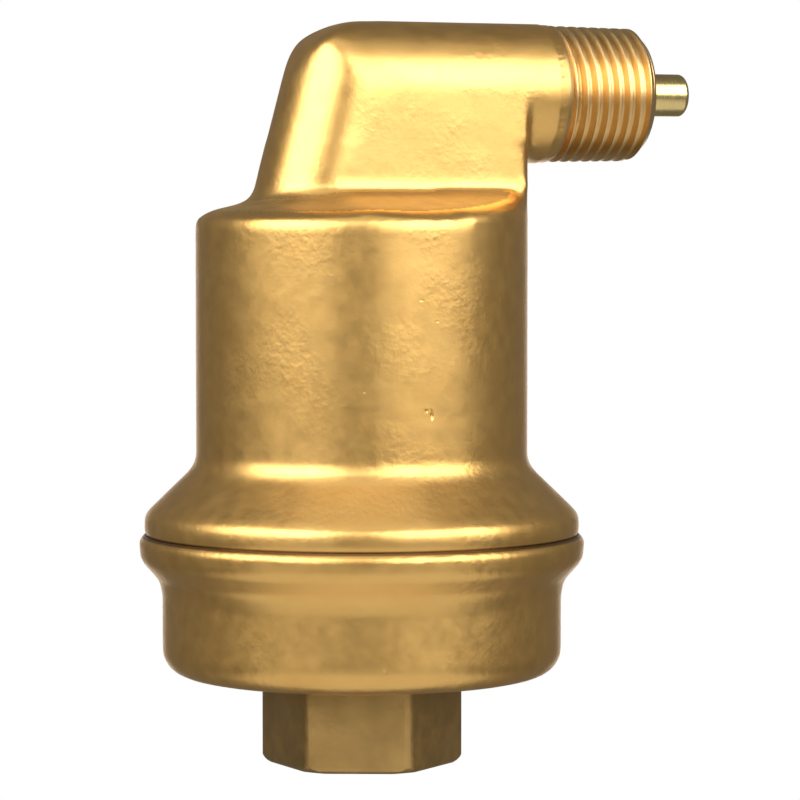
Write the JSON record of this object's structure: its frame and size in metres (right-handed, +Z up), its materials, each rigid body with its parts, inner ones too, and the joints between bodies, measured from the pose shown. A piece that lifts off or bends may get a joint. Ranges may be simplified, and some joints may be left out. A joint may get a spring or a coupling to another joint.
{
  "type": "automatic air vent",
  "caption": "Brass float-operated automatic air vent with a hexagon bottom inlet, a bottle-shaped two-piece body and a horizontal threaded outlet with a vent tube.",
  "frame": {"origin": "centre of the inlet bore at the hexagon's bottom face", "axes": "+Z up the barrel's axis, +X along the outlet spigot towards its free end, +Y completes the right-handed set"},
  "size_m": [0.0879, 0.0682, 0.1136],
  "materials": {
    "cast_brass": "as-cast satin, lightly blasted",
    "forged_brass": "as-forged satin",
    "turned_brass": "bright turned",
    "vent_tube_brass": "bright drawn and polished",
    "stainless_steel": "turned and ground",
    "stainless_sheet": "rolled sheet, pressed",
    "spring_steel": "drawn wire and hardened strip",
    "seal_rubber": "matt EPDM",
    "float_plastic": "natural polypropylene",
    "bearing_plastic": "natural acetal"
  },
  "bodies": {
    "housing": {"upper_housing": "cast_brass", "lower_housing": "forged_brass", "housing_o_ring": "seal_rubber", "outlet_bush": "turned_brass", "bush_o_ring": "seal_rubber", "vent_tube": "vent_tube_brass", "valve_seat": "stainless_steel", "valve_bracket": "stainless_sheet", "bracket_nut": "turned_brass", "lever_pin": "stainless_steel", "lever_pin_clips": "spring_steel", "guide_plate": "stainless_sheet", "guide_bush": "bearing_plastic", "guide_plate_ring": "spring_steel", "opening_spring": "spring_steel", "inlet_baffle": "stainless_sheet", "baffle_ring": "spring_steel"},
    "float": {"float_shell": "float_plastic", "float_lid": "float_plastic", "float_insert": "turned_brass", "float_rod": "stainless_steel", "rod_lock_nut": "turned_brass", "link_clevis": "turned_brass", "link_pin": "stainless_steel", "link_pin_clips": "spring_steel"},
    "lever": {"valve_lever": "stainless_steel", "pad_cup": "turned_brass", "valve_pad": "seal_rubber"}
  },
  "joints": [
    {"name": "float_slide", "type": "slide", "parent": "housing", "child": "float", "axis": [0, 0, 1], "range_m": [0, 0.005], "deforming": ["opening_spring"]},
    {"name": "lever_hinge", "type": "hinge", "parent": "housing", "child": "lever", "pos_m": [0.0139, 0, 0.0966], "axis": [0, 1, 0], "range_deg": [0, 20.6]}
  ],
  "couplings": [
    {"joint": "lever_hinge", "follows": "float_slide", "rad_per_m": 71.814}
  ]
}
